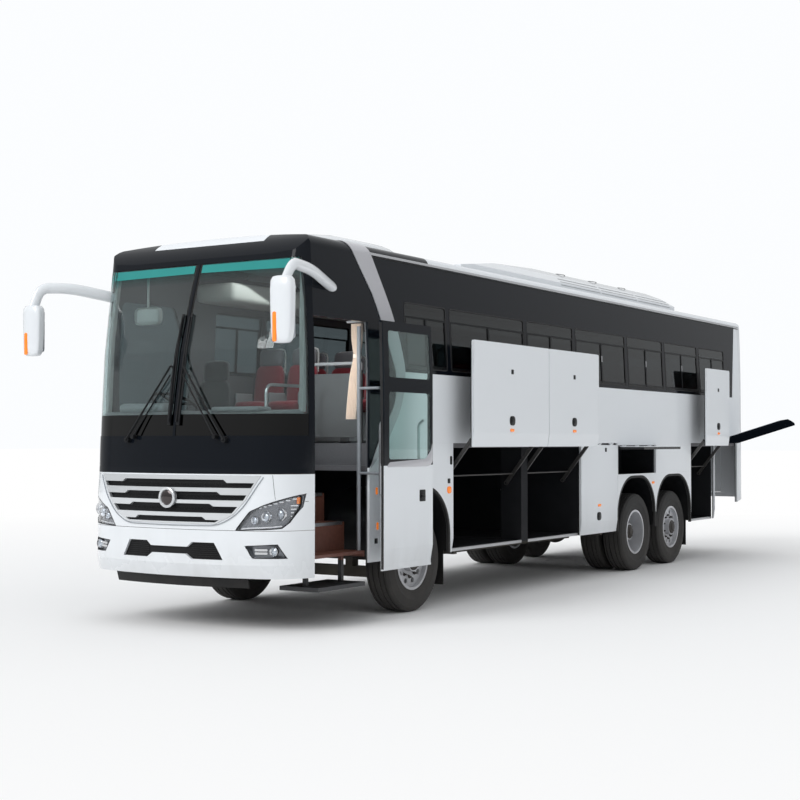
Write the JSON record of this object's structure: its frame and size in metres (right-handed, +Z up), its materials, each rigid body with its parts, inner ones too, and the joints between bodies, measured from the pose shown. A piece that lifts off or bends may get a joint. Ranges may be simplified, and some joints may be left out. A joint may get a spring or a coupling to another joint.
{
  "type": "three-axle touring coach",
  "caption": "High-floor touring coach on three axles, standing with its passenger door, luggage hatches and side lids open, with wheels, steering, door and lids that move.",
  "frame": {"origin": "on the ground under the middle of the front axle", "axes": "+X to the coach's left, where the passenger door is, +Y rearwards along the coach, +Z up"},
  "size_m": [4.137, 12.9475, 3.96],
  "materials": {
    "white_paint": "gloss",
    "black_gloss": "gloss",
    "silver_paint": "gloss",
    "dark_glass": "gloss",
    "teal_glass": "gloss",
    "dark_trim": "matte",
    "bright_trim": "polished",
    "lamp_lens": "gloss",
    "grey_steel": "satin",
    "bay_lining": "matte",
    "step_plate": "satin",
    "floor_covering": "matte",
    "seat_cloth": "matte",
    "curtain_cloth": "matte",
    "chassis_black": "satin",
    "cast_engine": "matte",
    "tyre_rubber": "matte",
    "wheel_silver": "satin"
  },
  "bodies": {
    "coach": {"axles": "chassis_black", "chassis_frame": "chassis_black", "dashboard": "dark_trim", "door_curtain": "curtain_cloth", "engine_block": "cast_engine", "entry_steps": "step_plate", "front_bumper": "white_paint", "front_mask": "black_gloss", "front_panel": "white_paint", "grille": "bright_trim", "grille_mesh": "dark_trim", "handrails": "grey_steel", "lamps": "lamp_lens", "left_side_wall": "white_paint", "luggage_bays": "bay_lining", "mirrors": "black_gloss", "rear_wall": "white_paint", "right_side_wall": "white_paint", "roof_air_conditioner": "white_paint", "roof_shell": "white_paint", "saloon_floor": "floor_covering", "seats": "seat_cloth", "side_windows": "dark_glass", "silver_bands": "silver_paint", "wheel_arch_liners": "dark_trim", "windscreen": "teal_glass", "wipers": "dark_trim"},
    "door_arm_body": {"door_arms": "grey_steel"},
    "door_panel": {"passenger_door": "white_paint", "door_glass": "teal_glass"},
    "hatch_left_front_lift": {"hatch_left_front_arms": "grey_steel"},
    "hatch_left_front_panel": {"hatch_left_front": "white_paint"},
    "hatch_left_middle_lift": {"hatch_left_middle_arms": "grey_steel"},
    "hatch_left_middle_panel": {"hatch_left_middle": "white_paint"},
    "hatch_left_rear_lift": {"hatch_left_rear_arms": "grey_steel"},
    "hatch_left_rear_panel": {"hatch_left_rear": "white_paint"},
    "hatch_right_front_lift": {"hatch_right_front_arms": "grey_steel"},
    "hatch_right_front_panel": {"hatch_right_front": "white_paint"},
    "hatch_right_middle_lift": {"hatch_right_middle_arms": "grey_steel"},
    "hatch_right_middle_panel": {"hatch_right_middle": "white_paint"},
    "over_wheel_lid": {"over_wheel_lid": "white_paint"},
    "rear_side_lid": {"rear_side_lid": "white_paint"},
    "service_hatch": {"service_hatch": "white_paint"},
    "engine_door": {"engine_door": "white_paint"},
    "knuckle_left": {"knuckle_left": "chassis_black"},
    "knuckle_right": {"knuckle_right": "chassis_black"},
    "steering_wheel": {"steering_wheel": "dark_trim"},
    "front_wheel_left": {"tyre_front_left": "tyre_rubber", "rim_front_left": "wheel_silver"},
    "drive_wheel_left": {"tyres_drive_left": "tyre_rubber", "rims_drive_left": "wheel_silver"},
    "tag_wheel_left": {"tyre_tag_left": "tyre_rubber", "rim_tag_left": "wheel_silver"},
    "front_wheel_right": {"tyre_front_right": "tyre_rubber", "rim_front_right": "wheel_silver"},
    "drive_wheel_right": {"tyres_drive_right": "tyre_rubber", "rims_drive_right": "wheel_silver"},
    "tag_wheel_right": {"tyre_tag_right": "tyre_rubber", "rim_tag_right": "wheel_silver"}
  },
  "joints": [
    {"name": "door_arm_swing", "type": "hinge", "parent": "coach", "child": "door_arm_body", "pos_m": [1.1675, -0.9756, 1.44], "axis": [0, 0, 1], "range_deg": [-132.3, 0]},
    {"name": "door_panel_swing", "type": "hinge", "parent": "door_arm_body", "child": "door_panel", "pos_m": [1.47, -0.67, 1.44], "axis": [0, 0, 1], "range_deg": [0, 132.3]},
    {"name": "hatch_left_front_arm_swing", "type": "hinge", "parent": "coach", "child": "hatch_left_front_lift", "pos_m": [1.055, 1.5, 1.2653], "axis": [0, 1, 0], "range_deg": [0, 128.5]},
    {"name": "hatch_left_front_panel_swing", "type": "hinge", "parent": "hatch_left_front_lift", "child": "hatch_left_front_panel", "pos_m": [1.45, 1.5, 1.765], "axis": [0, 1, 0], "range_deg": [-128.5, 0]},
    {"name": "hatch_left_middle_arm_swing", "type": "hinge", "parent": "coach", "child": "hatch_left_middle_lift", "pos_m": [1.055, 3.1, 1.2653], "axis": [0, 1, 0], "range_deg": [0, 128.5]},
    {"name": "hatch_left_middle_panel_swing", "type": "hinge", "parent": "hatch_left_middle_lift", "child": "hatch_left_middle_panel", "pos_m": [1.45, 3.1, 1.765], "axis": [0, 1, 0], "range_deg": [-128.5, 0]},
    {"name": "hatch_left_rear_arm_swing", "type": "hinge", "parent": "coach", "child": "hatch_left_rear_lift", "pos_m": [1.055, 8.2, 1.2653], "axis": [0, 1, 0], "range_deg": [0, 128.5]},
    {"name": "hatch_left_rear_panel_swing", "type": "hinge", "parent": "hatch_left_rear_lift", "child": "hatch_left_rear_panel", "pos_m": [1.45, 8.2, 1.765], "axis": [0, 1, 0], "range_deg": [-128.5, 0]},
    {"name": "hatch_right_front_arm_swing", "type": "hinge", "parent": "coach", "child": "hatch_right_front_lift", "pos_m": [-1.055, 1.5, 1.2653], "axis": [0, 1, 0], "range_deg": [0, 128.5]},
    {"name": "hatch_right_front_panel_swing", "type": "hinge", "parent": "hatch_right_front_lift", "child": "hatch_right_front_panel", "pos_m": [-1.2, 1.5, 0.645], "axis": [0, 1, 0], "range_deg": [-128.5, 0]},
    {"name": "hatch_right_middle_arm_swing", "type": "hinge", "parent": "coach", "child": "hatch_right_middle_lift", "pos_m": [-1.055, 3.1, 1.2653], "axis": [0, 1, 0], "range_deg": [0, 128.5]},
    {"name": "hatch_right_middle_panel_swing", "type": "hinge", "parent": "hatch_right_middle_lift", "child": "hatch_right_middle_panel", "pos_m": [-1.2, 3.1, 0.645], "axis": [0, 1, 0], "range_deg": [-128.5, 0]},
    {"name": "over_wheel_lid_hinge", "type": "hinge", "parent": "coach", "child": "over_wheel_lid", "pos_m": [1.275, 5.6675, 1.687], "axis": [0, 1, 0], "range_deg": [0, 90]},
    {"name": "rear_side_lid_hinge", "type": "hinge", "parent": "coach", "child": "rear_side_lid", "pos_m": [1.275, 9.191, 1.762], "axis": [0, 1, 0], "range_deg": [0, 107]},
    {"name": "service_hatch_hinge", "type": "hinge", "parent": "coach", "child": "service_hatch", "pos_m": [1.275, 4.432, 1.717], "axis": [0, 1, 0], "range_deg": [-90, 0]},
    {"name": "engine_door_hinge", "type": "hinge", "parent": "coach", "child": "engine_door", "pos_m": [0, 10.08, 1.747], "axis": [1, 0, 0], "range_deg": [0, 80]},
    {"name": "steer_left", "type": "hinge", "parent": "coach", "child": "knuckle_left", "pos_m": [0.93, 0, 0.522], "axis": [0, 0, 1], "range_deg": [-40, 40]},
    {"name": "steer_right", "type": "hinge", "parent": "coach", "child": "knuckle_right", "pos_m": [-0.93, 0, 0.522], "axis": [0, 0, 1], "range_deg": [-40, 40]},
    {"name": "steering_wheel_turn", "type": "hinge", "parent": "coach", "child": "steering_wheel", "pos_m": [-0.68, -1.56, 2.13], "axis": [0, 0.4226, 0.9063], "range_deg": [-720, 720]},
    {"name": "front_wheel_left_spin", "type": "hinge", "parent": "knuckle_left", "child": "front_wheel_left", "pos_m": [1.06, 0, 0.522], "axis": [1, 0, 0], "continuous": true},
    {"name": "drive_wheel_left_spin", "type": "hinge", "parent": "coach", "child": "drive_wheel_left", "pos_m": [0.9225, 5.72, 0.522], "axis": [1, 0, 0], "continuous": true},
    {"name": "tag_wheel_left_spin", "type": "hinge", "parent": "coach", "child": "tag_wheel_left", "pos_m": [1.06, 7.09, 0.522], "axis": [1, 0, 0], "continuous": true},
    {"name": "front_wheel_right_spin", "type": "hinge", "parent": "knuckle_right", "child": "front_wheel_right", "pos_m": [-1.06, 0, 0.522], "axis": [1, 0, 0], "continuous": true},
    {"name": "drive_wheel_right_spin", "type": "hinge", "parent": "coach", "child": "drive_wheel_right", "pos_m": [-0.9225, 5.72, 0.522], "axis": [1, 0, 0], "continuous": true},
    {"name": "tag_wheel_right_spin", "type": "hinge", "parent": "coach", "child": "tag_wheel_right", "pos_m": [-1.06, 7.09, 0.522], "axis": [1, 0, 0], "continuous": true}
  ],
  "couplings": [
    {"joint": "door_panel_swing", "follows": "door_arm_swing", "ratio": -1},
    {"joint": "hatch_left_front_panel_swing", "follows": "hatch_left_front_arm_swing", "ratio": -1},
    {"joint": "hatch_left_middle_panel_swing", "follows": "hatch_left_middle_arm_swing", "ratio": -1},
    {"joint": "hatch_left_rear_panel_swing", "follows": "hatch_left_rear_arm_swing", "ratio": -1},
    {"joint": "hatch_right_front_panel_swing", "follows": "hatch_right_front_arm_swing", "ratio": -1},
    {"joint": "hatch_right_middle_panel_swing", "follows": "hatch_right_middle_arm_swing", "ratio": -1},
    {"joint": "steer_right", "follows": "steer_left", "ratio": 1},
    {"joint": "steering_wheel_turn", "follows": "steer_left", "ratio": 18}
  ]
}
